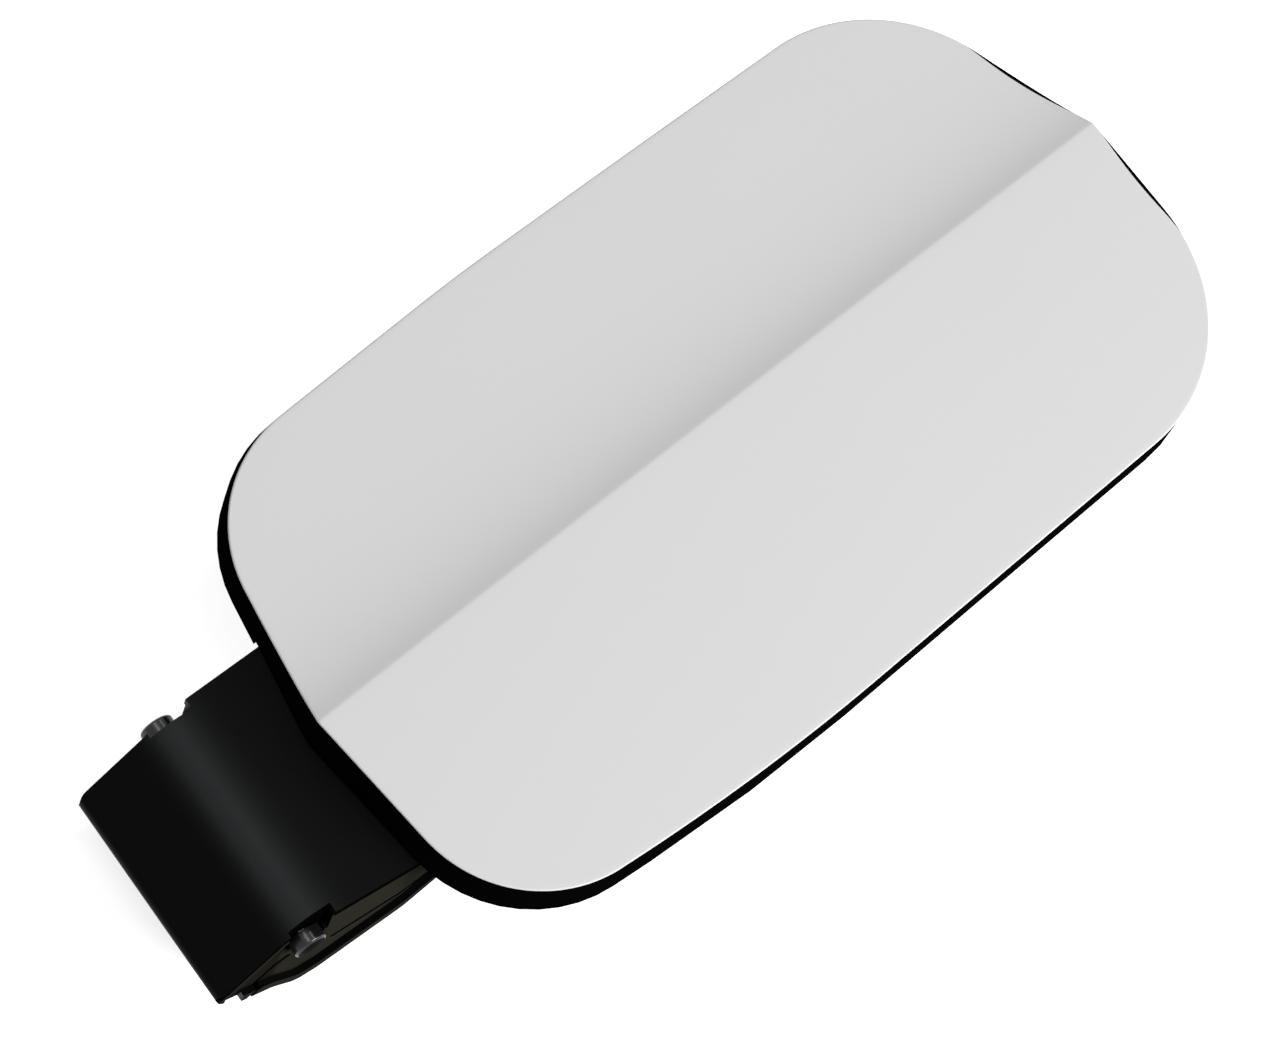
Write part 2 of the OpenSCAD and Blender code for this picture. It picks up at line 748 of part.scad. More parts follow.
// Cap holder: two rails with inward lips, between which the grip of the fuel cap slides
rail_t = 2.4;
lip_in = 2.5;
holder_base_x = 42;
module cap_holder() {
    base = [[-holder_base_x / 2, -cap_len / 2 + 8, 5], [-cap_slot_w / 2 - rail_t - 1, -cap_len / 2, 4],
        [cap_slot_w / 2 + rail_t + 1, -cap_len / 2, 4], [holder_base_x / 2, -cap_len / 2 + 8, 5],
        [holder_base_x / 2, cap_len / 2 - 8, 5], [cap_slot_w / 2 + rail_t + 1, cap_len / 2, 4],
        [-cap_slot_w / 2 - rail_t - 1, cap_len / 2, 4], [-holder_base_x / 2, cap_len / 2 - 8, 5]];
    wall = cap_slot_w / 2 + rail_t;
    low = -base_t - cap_slot_h;
    rails = [[-wall, -base_t / 2], [-wall, low - rail_t], [-cap_slot_w / 2 + lip_in, low - rail_t],
        [-cap_slot_w / 2 + lip_in, low], [-cap_slot_w / 2, low], [-cap_slot_w / 2, -base_t],
        [cap_slot_w / 2, -base_t], [cap_slot_w / 2, low], [cap_slot_w / 2 - lip_in, low],
        [cap_slot_w / 2 - lip_in, low - rail_t], [wall, low - rail_t], [wall, -base_t / 2]];
    color(soft_black)
        on_door()
            translate([holder_at[0], holder_at[1], pad_z])
                difference() {
                    union() {
                        translate([0, 0, -base_t])
                            linear_extrude(base_t)
                                polygon(rounded(base));
                        rotate([90, 0, 0])
                            linear_extrude(cap_len - 2, center = true)
                                polygon(rails);
                        translate([-wall, 1 - cap_len / 2, low - rail_t])
                            cube([2 * wall, rail_t, cap_slot_h + rail_t + base_t / 2]);
                    }
                    for (h = holder_holes)
                        translate([h[0], h[1], -10])
                            cylinder(h = 20, r = small_screw_r + 0.3, $fn = 32);
                }
}

// Bump stops: turned rubber buffers, each with a stem in a socket of the carrier
module bump_stop(p) {
    color(soft_black)
        on_door()
            translate([p[0], p[1], bump_z(p)])
                rotate_extrude($fn = 64)
                    polygon([[0, bump_stem_l], [bump_stem_r - 0.6, bump_stem_l], [bump_stem_r, bump_stem_l - 1],
                        [bump_stem_r, 0], [bump_r, 0], [bump_r, -bump_h * 0.4], [bump_r * 0.85, -bump_h * 0.8],
                        [bump_r * 0.55, -bump_h], [0, -bump_h]]);
}
module bump_stop_1() {
    bump_stop(bumps[0]);
}
module bump_stop_2() {
    bump_stop(bumps[1]);
}
module bump_stop_3() {
    bump_stop(bumps[2]);
}
module bump_stop_4() {
    bump_stop(bumps[3]);
}

outer_skin();
bond_bead();
inner_carrier();
hinge_arm();
arm_screws();
hinge_rod();
pivot_bush_left();
pivot_bush_right();
arm_bush_left();
arm_bush_right();
spring_sleeve();
torsion_spring();
latch_striker();
striker_screws();
cap_holder();
cap_holder_screws();
bump_stop_1();
bump_stop_2();
bump_stop_3();
bump_stop_4();
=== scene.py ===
import math

import bmesh
import bpy
import numpy as np
from mathutils import Matrix, Vector


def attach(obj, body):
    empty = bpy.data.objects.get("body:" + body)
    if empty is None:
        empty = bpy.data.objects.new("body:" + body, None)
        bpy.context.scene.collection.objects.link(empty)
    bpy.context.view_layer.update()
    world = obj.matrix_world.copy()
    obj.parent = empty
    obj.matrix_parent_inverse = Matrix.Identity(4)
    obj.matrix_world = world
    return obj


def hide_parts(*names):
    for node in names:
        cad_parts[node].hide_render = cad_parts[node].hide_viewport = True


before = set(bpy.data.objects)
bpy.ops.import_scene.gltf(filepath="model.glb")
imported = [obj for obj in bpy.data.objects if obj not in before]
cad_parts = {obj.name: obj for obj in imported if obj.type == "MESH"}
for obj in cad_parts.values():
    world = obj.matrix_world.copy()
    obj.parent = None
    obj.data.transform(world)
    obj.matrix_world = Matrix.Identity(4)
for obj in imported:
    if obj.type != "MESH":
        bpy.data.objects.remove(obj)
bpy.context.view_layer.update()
mm = 0.001


# Shader maths: a wrapped socket with operators, and one method for every other node
class Wire:
    def __init__(self, tree, socket):
        self.tree = tree
        self.socket = socket

    def math(self, operation, *others, clamp=False):
        node = self.tree.nodes.new("ShaderNodeMath")
        node.operation = operation
        node.use_clamp = clamp
        for slot, value in zip(node.inputs, (self,) + others):
            plug(self.tree, slot, value)
        return Wire(self.tree, node.outputs[0])

    def __add__(self, other):
        return self.math("ADD", other)

    def __radd__(self, other):
        return self.math("ADD", other)

    def __sub__(self, other):
        return self.math("SUBTRACT", other)

    def __rsub__(self, other):
        return (self * -1).math("ADD", other)

    def __mul__(self, other):
        return self.math("MULTIPLY", other)

    def __rmul__(self, other):
        return self.math("MULTIPLY", other)

    def clamped(self):
        return self.math("ADD", 0.0, clamp=True)


def plug(tree, slot, value):
    if isinstance(value, Wire):
        tree.links.new(value.socket, slot)
    else:
        slot.default_value = value


class Shader:
    def __init__(self, name):
        self.material = bpy.data.materials.new(name)
        self.material.use_nodes = True
        self.tree = self.material.node_tree
        self.tree.nodes.clear()

    # Any node: its type, its settings, then the values or links of its inputs by name or number
    def node(self, kind, settings=None, inputs=None, output=0):
        node = self.tree.nodes.new(kind)
        for name, value in (settings or {}).items():
            setattr(node, name, value)
        for name, value in (inputs or {}).items():
            plug(self.tree, node.inputs[name], value)
        return Wire(self.tree, node.outputs[output])

    def place(self):
        return self.node("ShaderNodeTexCoord", output="Object")

    def noise(self, place, scale, detail=3.0, roughness=0.5):
        inputs = {"Vector": place, "Scale": scale, "Detail": detail, "Roughness": roughness}
        return self.node("ShaderNodeTexNoise", {"noise_dimensions": "3D"}, inputs)

    def parts(self, vector):
        split = self.node("ShaderNodeSeparateXYZ", None, {"Vector": vector})
        return [Wire(self.tree, socket) for socket in split.socket.node.outputs]

    # Direction that the surface faces, as x, y and z
    def facing(self):
        return self.parts(self.node("ShaderNodeTexCoord", output="Normal"))

    def speckle(self, place, scale):
        return self.node("ShaderNodeTexVoronoi", {"feature": "F1"},
                         {"Vector": place, "Scale": scale})

    def blend(self, factor, first, second):
        return self.node("ShaderNodeMix", {"data_type": "RGBA"},
                         {0: factor, 6: first, 7: second}, output=2)

    def bump(self, height, depth, strength):
        return self.node("ShaderNodeBump", None,
                         {"Height": height, "Distance": depth, "Strength": strength})

    def mixed(self, factor, first, second):
        return self.node("ShaderNodeMixShader", None, {0: factor, 1: first, 2: second})

    def coat(self, **values):
        return self.node("ShaderNodeBsdfPrincipled", None,
                         {name.replace("_", " "): value for name, value in values.items()})

    def done(self, shader):
        out = self.tree.nodes.new("ShaderNodeOutputMaterial")
        self.tree.links.new(shader.socket, out.inputs["Surface"])
        return self.material

    def surface(self, **values):
        return self.done(self.coat(**values))


def rgb(level, tint=(1.0, 1.0, 1.0)):
    return tuple(level * t for t in tint) + (1.0,)


# Materials, each with the grain that the real finish has; depths and places in metres
skinFinish = {"colour": rgb(0.69), "deep": rgb(0.68), "roughness": 0.55, "mottle": 0.08,
              "shine": 0.3, "grain": 0.00002, "strength": 0.35,
              "cloudScale": 18.0, "mistScale": 2400.0, "grainScale": 5200.0}


def makeSkinPaint():
    m = Shader("matt_pale_skin")
    place = m.place()
    cloud = m.noise(place, skinFinish["cloudScale"], 4.0, 0.6)
    mist = m.noise(place, skinFinish["mistScale"], 2.0, 0.5)
    grain = m.noise(place, skinFinish["grainScale"], 1.0, 0.5)
    colour = m.blend(cloud, skinFinish["deep"], skinFinish["colour"])
    return m.surface(Base_Color=colour, Specular_IOR_Level=skinFinish["shine"],
                     Roughness=skinFinish["roughness"] + skinFinish["mottle"] * (mist - 0.5),
                     Normal=m.bump(grain, skinFinish["grain"], skinFinish["strength"]))


# The arm's top runs up from its tail over the elbow to its sheet and plate, and dulls on its sides
# Besides the black and its random wear, these colours are painted light: a darker black as painted
# shade, a grey painted sheen for the elbow and a khaki painted reflection for the sides
armFinish = {"colour": rgb(0.0022, (1.0, 1.06, 1.1)), "worn": rgb(0.0036, (1.0, 1.05, 1.1)),
             "tip": rgb(0.001), "paintedSheen": rgb(0.027, (0.95, 1.0, 1.03)),
             "dustAndReflection": rgb(0.022, (1.0, 0.94, 0.7)), "roughness": 0.36, "mottle": 0.12,
             "shine": 0.03, "mattRoughness": 0.8, "grain": 0.00003, "strength": 0.5,
             "cloudScale": 60.0, "poreScale": 2600.0, "rippleScale": 900.0,
             "elbow": (-0.0023, 0.0101), "tailRise": 1.11, "sheetRise": 0.139,
             "plateHeight": 0.0146, "sheenBack": 0.0021, "sheenAhead": 0.0047,
             "shoulder": 0.0021, "shoulderFade": 0.0005, "notch": 0.0274, "notchFade": 0.0002}


# Satin black above and matt on the sides: a two-sided bell of painted sheen over the elbow, a
# khaki painted reflection on the sides below the top's line, and painted shade on the tail's tip
# that faces away
def makeArmPlastic():
    m = Shader("satin_black_arm")
    place = m.place()
    cloud = m.noise(place, armFinish["cloudScale"], 4.0, 0.6)
    pores = m.speckle(place, armFinish["poreScale"])
    ripple = m.noise(place, armFinish["rippleScale"], 2.0, 0.5)
    x, y, z = m.parts(place)
    alongFace, acrossFace, upFace = m.facing()
    elbowX, elbowZ = armFinish["elbow"]
    past = x - elbowX
    ahead = past.math("MAXIMUM", 0.0) * (1 / armFinish["sheenAhead"])
    back = past.math("MINIMUM", 0.0) * (1 / armFinish["sheenBack"])
    # Painted sheen: a grey band laid into the colour over the elbow's top, in place of its
    # highlight
    elbowSheen = ((ahead * ahead + back * back) * -0.5).math("EXPONENT") * (upFace * 2.0).clamped()
    top = (past * armFinish["tailRise"]).math("MINIMUM", past * armFinish["sheetRise"]) + elbowZ
    top = top.math("MINIMUM", armFinish["plateHeight"])
    # The painted reflection on the sides starts below the shoulder; above it the sides stay
    # painted dark as shade
    below = ((top - z - armFinish["shoulder"]) * (1 / armFinish["shoulderFade"])).clamped()
    # Notch walls get no painted reflection and stay painted dark as shade
    outer = ((y.math("ABSOLUTE") - armFinish["notch"]) * (1 / armFinish["notchFade"])).clamped()
    # Khaki painted reflection on faces that look sideways, below the shoulder and outside the
    # notches
    dustAndSideReflection = ((acrossFace.math("ABSOLUTE") - 0.8) * 5.0).clamped() * below * outer
    black = m.blend(cloud, armFinish["colour"], armFinish["worn"])
    # Painted shade on the faces of the tail's tip, which look away along -X
    black = m.blend((alongFace * -4.0 - 2.2).clamped(), black, armFinish["tip"])
    # Lay the painted sheen over the elbow, on the top faces only
    black = m.blend(elbowSheen * (1.0 - below), black, armFinish["paintedSheen"])
    normal = m.bump(pores * 0.6 + ripple * 0.4, armFinish["grain"], armFinish["strength"])
    satin = m.coat(Base_Color=black, Specular_IOR_Level=armFinish["shine"], Normal=normal,
                   Roughness=armFinish["roughness"] + armFinish["mottle"] * (cloud - 0.5))
    # Matt sides: painted shade black with the khaki painted reflection over it
    side = m.blend(dustAndSideReflection * (0.75 + 0.25 * cloud), armFinish["tip"], armFinish["dustAndReflection"])
    matt = m.coat(Base_Color=side, Roughness=armFinish["mattRoughness"],
                  Specular_IOR_Level=0.0, Normal=normal)
    sideways = ((acrossFace.math("ABSOLUTE") - 0.12) * 6.0).clamped()
    return m.done(m.mixed(sideways, satin, matt))


pebbled = {"cloudScale": 45.0, "spread": (0.8, 1.25), "mottle": 0.1, "depth": 0.00006,
           "strength": 0.5}
# rim is the painted-shade black of the outward walls, inside the painted-light grey of what faces
# down
carrierFinish = {"rim": 0.0016, "inside": 0.012, "roughness": 0.7, "pebbleScale": 1700.0,
                 "shine": 0.0}
fittingFinish = {"level": 0.014, "roughness": 0.5, "pebbleScale": 2300.0, "shine": 0.25}


# Cloud, mottled grey and bump of a pebbled moulding
def pebbledPlastic(m, level, finish):
    place = m.place()
    cloud = m.noise(place, pebbled["cloudScale"], 3.0, 0.6)
    colour = m.blend(cloud, *(rgb(level * share) for share in pebbled["spread"]))
    pebble = m.speckle(place, finish["pebbleScale"])
    return colour, {"Roughness": finish["roughness"] + pebbled["mottle"] * (cloud - 0.5),
                    "Specular_IOR_Level": finish["shine"],
                    "Normal": m.bump(pebble, pebbled["depth"], pebbled["strength"])}


# One black moulding in two painted levels: deeper black on the walls that face outwards as painted
# shade, and a lighter grey on all that faces down as painted light
def makeCarrierPlastic():
    m = Shader("grained_black_carrier")
    inside, rest = pebbledPlastic(m, carrierFinish["inside"], carrierFinish)
    paintedLightBelow = (m.facing()[2] * -4.0 - 1.0).clamped()
    return m.surface(Base_Color=m.blend(paintedLightBelow, rgb(carrierFinish["rim"]), inside), **rest)


def makeFittingPlastic():
    m = Shader("grained_black_fitting")
    colour, rest = pebbledPlastic(m, fittingFinish["level"], fittingFinish)
    return m.surface(Base_Color=colour, **rest)


bushFinish = {"colour": rgb(0.006), "roughness": 0.24, "mottle": 0.1, "shine": 0.4,
              "endRoughness": 0.8, "grainScale": 1200.0, "grain": 0.00001, "strength": 0.4}


# Glossy black round the turned sides, with dull sawn ends
def makeBushPlastic():
    m = Shader("smooth_black_bush")
    place = m.place()
    grain = m.noise(place, bushFinish["grainScale"], 3.0, 0.6)
    ends = (m.facing()[1].math("ABSOLUTE") * 5.0 - 4.0).clamped()
    normal = m.bump(grain, bushFinish["grain"], bushFinish["strength"])
    glossy = m.coat(Base_Color=bushFinish["colour"], Normal=normal,
                    Roughness=bushFinish["roughness"] + bushFinish["mottle"] * (grain - 0.5),
                    Specular_IOR_Level=bushFinish["shine"])
    dull = m.coat(Base_Color=bushFinish["colour"], Roughness=bushFinish["endRoughness"],
                  Specular_IOR_Level=0.0, Normal=normal)
    return m.done(m.mixed(ends, glossy, dull))


rubberFinish = {"black": rgb(0.012), "dustAndReflection": rgb(0.03, (1.0, 0.98, 0.95)), "roughness": 0.75,
                "mottle": 0.15, "shine": 0.25, "dustScale": 220.0, "grainScale": 1500.0,
                "grain": 0.00005, "strength": 0.5}


def makeRubber():
    m = Shader("dull_rubber")
    place = m.place()
    # Real dust on the rubber, in random patches
    dustAndSideReflection = m.noise(place, rubberFinish["dustScale"], 4.0, 0.65)
    grain = m.noise(place, rubberFinish["grainScale"])
    return m.surface(Base_Color=m.blend(dustAndSideReflection, rubberFinish["black"], rubberFinish["dustAndReflection"]),
                     Roughness=rubberFinish["roughness"] + rubberFinish["mottle"] * (dustAndSideReflection - 0.5),
                     Specular_IOR_Level=rubberFinish["shine"],
                     Normal=m.bump(grain, rubberFinish["grain"], rubberFinish["strength"]))


steelFinish = {"lineScale": 400.0, "spotScale": 260.0, "dark": 0.85, "bright": 1.1,
               "tint": (1.0, 1.0, 0.98), "mottle": 0.2, "grain": 0.00001, "strength": 0.4}


def makeSteel(name, level, roughness, brushed):
    m = Shader(name)
    place = m.place()
    stretched = m.node("ShaderNodeMapping", None, {"Vector": place, "Scale": brushed})
    lines = m.noise(stretched, steelFinish["lineScale"], 4.0, 0.6)
    spots = m.noise(place, steelFinish["spotScale"], 3.0, 0.6)
    colour = m.blend(spots, rgb(level * steelFinish["dark"]),
                     rgb(level * steelFinish["bright"], steelFinish["tint"]))
    return m.surface(Base_Color=colour, Metallic=1.0,
                     Roughness=roughness + steelFinish["mottle"] * (lines - 0.5),
                     Normal=m.bump(lines, steelFinish["grain"], steelFinish["strength"]))


pasteFinish = {"dark": rgb(0.07), "pale": rgb(0.11, (1.0, 0.96, 0.9)), "roughness": 0.6,
               "mottle": 0.1, "lumpScale": 320.0, "lump": 0.0002, "strength": 0.6}


def makePaste():
    m = Shader("bonding_paste")
    lumps = m.noise(m.place(), pasteFinish["lumpScale"], 4.0, 0.6)
    return m.surface(Base_Color=m.blend(lumps, pasteFinish["dark"], pasteFinish["pale"]),
                     Roughness=pasteFinish["roughness"] + pasteFinish["mottle"] * (lumps - 0.5),
                     Normal=m.bump(lumps, pasteFinish["lump"], pasteFinish["strength"]))


skinPaint = makeSkinPaint()
armPlastic = makeArmPlastic()
carrierPlastic = makeCarrierPlastic()
fittingPlastic = makeFittingPlastic()
bushPlastic = makeBushPlastic()
rubber = makeRubber()
screwSteel = makeSteel("plated_screw", 0.45, 0.35, (1.0, 1.0, 1.0))
rodSteel = makeSteel("ground_rod", 0.6, 0.22, (12.0, 0.6, 12.0))
springSteel = makeSteel("drawn_wire", 0.35, 0.32, (3.0, 3.0, 3.0))
paste = makePaste()
print("materials made")


# The door's own frame: its crease along X, with the crest at height 0
doorPlace = {"skew": 6.5, "reach": 145.2, "offset": 2.95, "height": 29.0}


# Door points in millimetres, moved by the reach and turned by the skew, in metres
def fromDoor(points):
    a = math.radians(doorPlace["skew"])
    origin = (doorPlace["reach"], doorPlace["offset"], doorPlace["height"])
    moved = np.asarray(points, float) + origin
    turn = np.array([[math.cos(a), math.sin(a), 0], [-math.sin(a), math.cos(a), 0], [0, 0, 1]])
    return moved @ turn * mm


# The door's face in millimetres: each corner is x, y and radius, and each recess is a stretch of
# the rim before or past the crease's far end
skin = {
    "corners": [(-122.7, 0, 4), (-121.8, -64.3, 33), (-52.3, -71.4, 600), (118.1, -68.2, 45.8),
                (123.1, 0, 4), (107.6, 60.9, 40.5), (-25.6, 62.9, 531), (-106.9, 60.5, 36.5)],
    "thickness": 2.2, "edgeRadius": 0.35, "backEdge": 0.3, "crown": 4000.0,
    "crossCrown": 1500.0, "flatCrown": 3500.0, "scoopDrop": 3.0, "scoopWidth": 25.0,
    "frontDrop": 3.3, "frontFade": 12.5, "creaseSoft": 0.4, "trim": 0.05, "recess": 0.95,
    "recesses": ((-35.0, -2.5), (4.5, 36.0)), "arcSteps": 41, "rollSteps": 7,
    "long": 190, "short": 64, "bunch": 1.5, "wallTilt": 0.12,
}


# Rounded outline as arc length, point, outward normal and the arc length at each corner's middle:
# every corner is an arc tangent to its two sides, and straight sides join the arcs
def doorOutline():
    corners, steps = np.array(skin["corners"], float), skin["arcSteps"]
    spots, normals, middles = [], [], []
    for i, corner in enumerate(corners):
        back = corners[i - 1][:2] - corner[:2]
        ahead = corners[(i + 1) % len(corners)][:2] - corner[:2]
        back, ahead = back / np.linalg.norm(back), ahead / np.linalg.norm(ahead)
        half = math.acos(np.clip(back @ ahead, -1, 1)) / 2
        bisector = (back + ahead) / np.linalg.norm(back + ahead)
        centre = corner[:2] + bisector * corner[2] / math.sin(half)
        first = corner[:2] + back * corner[2] / math.tan(half) - centre
        last = corner[:2] + ahead * corner[2] / math.tan(half) - centre
        start = math.atan2(first[1], first[0])
        turn = (math.atan2(last[1], last[0]) - start + math.pi) % (2 * math.pi) - math.pi
        a = start + turn * np.linspace(0, 1, steps)
        ring = np.column_stack([np.cos(a), np.sin(a)])
        middles.append(len(spots) * steps + steps // 2)
        spots.append(centre + corner[2] * ring)
        normals.append(ring)
    points, normals = np.concatenate(spots), np.concatenate(normals)
    points, normals = np.vstack([points, points[:1]]), np.vstack([normals, normals[:1]])
    steps = np.linalg.norm(np.diff(points, axis=0), axis=1)
    length = np.concatenate([[0], np.cumsum(steps)])
    return length, points, normals, length[middles]


outline = doorOutline()


# Places on the outline at the given arc lengths, moved inwards by inset and by a share of the
# shallow sine-shaped recesses beside the crease's far end
def onOutline(at, inset=0.0, recess=1.0):
    length, points, normals, middles = outline
    at = np.mod(at, length[-1])
    for first, last in skin["recesses"]:
        u = np.clip((at - middles[4] - first) / (last - first), 0, 1)
        inset = inset + recess * skin["recess"] * np.sin(math.pi * u)
    inset = np.broadcast_to(inset + skin["trim"], at.shape)[:, None]
    spot = np.column_stack([np.interp(at, length, points[:, k]) for k in (0, 1)])
    out = np.column_stack([np.interp(at, length, normals[:, k]) for k in (0, 1)])
    return spot - inset * out / np.linalg.norm(out, axis=1, keepdims=True)


# Height of the outer face: two shallow crowns, less a scoop whose slope fades past the crease
def faceHeight(x, y):
    past = (y + np.sqrt(y * y + skin["creaseSoft"] ** 2)) / 2
    scoop = skin["frontDrop"] * (1 - np.exp(-past / skin["frontFade"]))
    return -skin["trim"] - x * x / (2 * skin["crown"]) - y * y / (2 * skin["flatCrown"]) - scoop


# Height of the inner face: rounder crowns and a scoop of even curvature, one thickness down
def backHeight(x, y):
    past = (y + np.sqrt(y * y + skin["creaseSoft"] ** 2)) / 2
    scoop = skin["scoopDrop"] * (1 - (1 - np.minimum(past / skin["scoopWidth"], 1)) ** 2)
    crowns = x * x / (2 * skin["crown"]) + y * y / (2 * skin["crossCrown"])
    return -crowns - scoop - skin["thickness"]


# Shares of the way along the crease, and from the crease to the rim, which bunch at the crease
alongShares = np.linspace(0, 1, skin["long"] + 1)
acrossShares = np.linspace(0, 1, skin["short"] + 1) ** skin["bunch"]


# One half of the door's face: a patch blended between the crease, a long edge and two ends, as
# the sum of both pairs of sides less the blend of the four corners
def halfFace(side, inset):
    at, total = outline[3], outline[0][-1]
    left, right = at[0], at[4]
    near, away = (at[1], at[3]) if side < 0 else (at[7], at[5])
    start = left if side < 0 else total + left
    u, v = alongShares, acrossShares
    leftEdge = onOutline(start + (near - start) * v, inset)
    rightEdge = onOutline(right + (away - right) * v, inset)
    farEdge = onOutline(near + (away - near) * u, inset)
    crease = leftEdge[0] + u[:, None] * (rightEdge[0] - leftEdge[0])
    U, V = u[:, None, None], v[None, :, None]
    patch = ((1 - V) * crease[:, None] + V * farEdge[:, None]
             + (1 - U) * leftEdge[None] + U * rightEdge[None])
    corner = ((1 - U) * (1 - V) * leftEdge[0] + U * (1 - V) * rightEdge[0]
              + (1 - U) * V * leftEdge[-1] + U * V * rightEdge[-1])
    return patch - corner


# Quads of a grid of rows by columns, turned over where flip is set
def gridFaces(rows, columns, first=0, flip=False, closed=False):
    r = np.arange(rows - 1)[:, None]
    c = np.arange(columns if closed else columns - 1)[None]
    n = (c + 1) % columns
    row, nextRow = r * columns, (r + 1) * columns
    quads = np.stack([row + c, nextRow + c, nextRow + n, row + n], -1).reshape(-1, 4) + first
    return quads[:, ::-1] if flip else quads


def addObject(name, data):
    added = bpy.data.objects.new(name, data)
    bpy.context.scene.collection.objects.link(added)
    return added


# New object of a mesh that is smooth up to the given angle
def addSmooth(name, mesh, material, smooth):
    mesh.shade_smooth()
    mesh.set_sharp_from_angle(angle=math.radians(smooth))
    mesh.materials.append(material)
    return addObject(name, mesh)


surfaceMesh = {"seam": 1e-6, "smooth": 40.0}


# Merged mesh object from loose grids of points and quads
def meshPiece(name, points, faces, material):
    mesh = bpy.data.meshes.new(name)
    mesh.from_pydata(np.asarray(points).tolist(), [], [list(map(int, f)) for f in faces])
    mesh.validate()
    work = bmesh.new()
    work.from_mesh(mesh)
    bmesh.ops.remove_doubles(work, verts=work.verts, dist=surfaceMesh["seam"])
    bmesh.ops.recalc_face_normals(work, faces=work.faces)
    work.to_mesh(mesh)
    work.free()
    return addSmooth(name, mesh, material, surfaceMesh["smooth"])


# Skin: two half faces above, two below, and an edge that rolls over a quarter circle
def makeSkin():
    r, back = skin["edgeRadius"], skin["backEdge"]
    points, faces, count = [], [], 0
    for side in (-1, 1):
        for inset, height, under in ((r, faceHeight, False), (back, backHeight, True)):
            flat = halfFace(side, inset)
            rows, columns = flat.shape[:2]
            flat = flat.reshape(-1, 2)
            z = height(flat[:, 0], flat[:, 1])
            points.append(np.column_stack([flat, z]))
            faces.append(gridFaces(rows, columns, count, flip=(side > 0) == under))
            count += len(flat)
    at = np.concatenate([edgeStations(k) for k in range(4)])
    a = np.radians(np.linspace(0, 90, skin["rollSteps"]))
    insets = np.concatenate([r - r * np.sin(a), [0, back]])
    rings = [np.column_stack([onOutline(at, i), np.zeros(len(at))]) for i in insets]
    for ring, drop in zip(rings, r - r * np.cos(a)):
        ring[:, 2] = faceHeight(ring[:, 0], ring[:, 1]) - drop
    for ring, rise in zip(rings[-2:], (back, 0.0)):
        ring[:, 2] = backHeight(ring[:, 0], ring[:, 1]) + rise
    points += rings
    faces.append(gridFaces(len(rings), len(at), count, closed=True))
    points, faces = fromDoor(np.concatenate(points)), np.concatenate(faces)
    skinPiece = meshPiece("skin_panel", points, faces, skinPaint)
    skinPiece.data.materials.append(carrierPlastic)
    for face in skinPiece.data.polygons:
        face.material_index = int(abs(face.normal.z) < skin["wallTilt"])
    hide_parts("outer_skin")
    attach(skinPiece, "door")


# Arc lengths of one quarter of the rim, at the same places as the edges of the half faces
def edgeStations(quarter):
    at, total = outline[3], outline[0][-1]
    u, v = alongShares, acrossShares
    if quarter == 0:
        left = at[0] + (at[1] - at[0]) * v
        return np.concatenate([left[:-1], (at[1] + (at[3] - at[1]) * u)[:-1]])
    if quarter == 1:
        return (at[4] + (at[3] - at[4]) * v)[::-1][:-1]
    if quarter == 2:
        right = at[4] + (at[5] - at[4]) * v
        return np.concatenate([right[:-1], (at[5] + (at[7] - at[5]) * u)[:-1]])
    start = total + at[0]
    return (start + (at[7] - start) * v)[::-1][:-1]


makeSkin()

rimLip = {"sunk": 0.3, "tall": 1.2, "inside": 1.5, "steps": 80}


# Thin dark strip of carrier plastic that shows past the skin beside the crease's far end: a box
# section led along each recess of the rim, with both ends closed
def makeRimLip():
    points, faces = [], []
    u = np.linspace(0, 1, rimLip["steps"])
    for first, last in skin["recesses"]:
        at = outline[3][4] + first + (last - first) * u
        inner = onOutline(at, rimLip["inside"], 0.0)
        outer = onOutline(at, 0.0, 0.0)
        top = faceHeight(*outer.T) - rimLip["sunk"]
        low = top - rimLip["tall"]
        count = sum(len(p) for p in points)
        rings = [(inner, top), (outer, top), (outer, low), (inner, low)]
        points.append(np.stack([np.column_stack(ring) for ring in rings], 1).reshape(-1, 3))
        faces += gridFaces(len(at), 4, count, closed=True).tolist()
        end = count + 4 * (len(at) - 1)
        faces += [[count + k for k in (3, 2, 1, 0)], [end + k for k in (0, 1, 2, 3)]]
    lip = meshPiece("rim_lip", fromDoor(np.concatenate(points)), faces, carrierPlastic)
    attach(lip, "door")


makeRimLip()
print("skin made")


solidMesh = {"seam": 2e-6, "flat": 0.4, "rollSegments": 5, "softSegments": 2}


def addBevel(piece, name, limit, width, segments):
    bevel = piece.modifiers.new(name, "BEVEL")
    bevel.limit_method = limit
    bevel.width = width * mm
    bevel.segments = segments
    bevel.harden_normals = True
    return bevel


